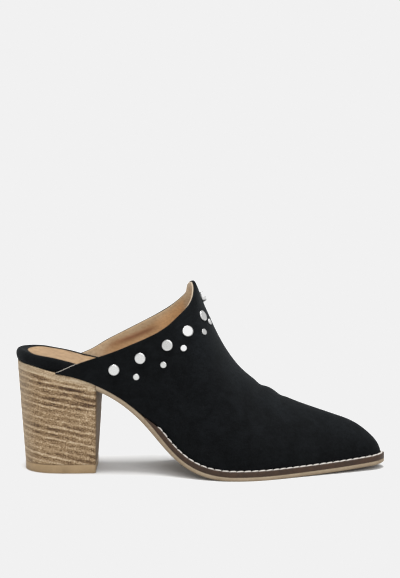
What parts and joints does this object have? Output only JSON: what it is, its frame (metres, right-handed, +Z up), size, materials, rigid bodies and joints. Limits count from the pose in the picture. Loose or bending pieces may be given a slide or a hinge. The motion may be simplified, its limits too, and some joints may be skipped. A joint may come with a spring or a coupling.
{
  "type": "block-heel mule",
  "caption": "Right-foot mule in dark suede with a pointed toe, a peaked topline with flat metal studs, an open back and a stacked block heel.",
  "frame": {"origin": "on the floor under the middle of the box round the shoe", "axes": "+X from the heel to the toe, +Y to the inner side of the right foot, +Z up from the floor"},
  "size_m": [0.2478, 0.0854, 0.1259],
  "materials": {
    "suede": "black suede, matt with a short nap",
    "sole_leather": "tan sole leather, satin",
    "welt_leather": "dark brown leather, satin",
    "stacked_leather": "stacked layers, sanded, light tan with dark streaks",
    "top_piece": "tan hard rubber, matt",
    "stud_metal": "polished silver metal"
  },
  "bodies": {
    "root": {"outsole": "sole_leather", "welt": "welt_leather", "insole": "suede", "heel": "stacked_leather", "top_piece": "top_piece", "upper": "suede", "stud_ridge": "stud_metal", "stud_large_outer_1": "stud_metal", "stud_large_outer_2": "stud_metal", "stud_large_outer_3": "stud_metal", "stud_large_outer_4": "stud_metal", "stud_large_outer_5": "stud_metal", "stud_large_inner_1": "stud_metal", "stud_large_inner_2": "stud_metal", "stud_large_inner_3": "stud_metal", "stud_large_inner_4": "stud_metal", "stud_large_inner_5": "stud_metal", "stud_small_outer_1": "stud_metal", "stud_small_outer_2": "stud_metal", "stud_small_outer_3": "stud_metal", "stud_small_outer_4": "stud_metal", "stud_small_outer_5": "stud_metal", "stud_small_inner_1": "stud_metal", "stud_small_inner_2": "stud_metal", "stud_small_inner_3": "stud_metal", "stud_small_inner_4": "stud_metal", "stud_small_inner_5": "stud_metal"}
  },
  "joints": []
}
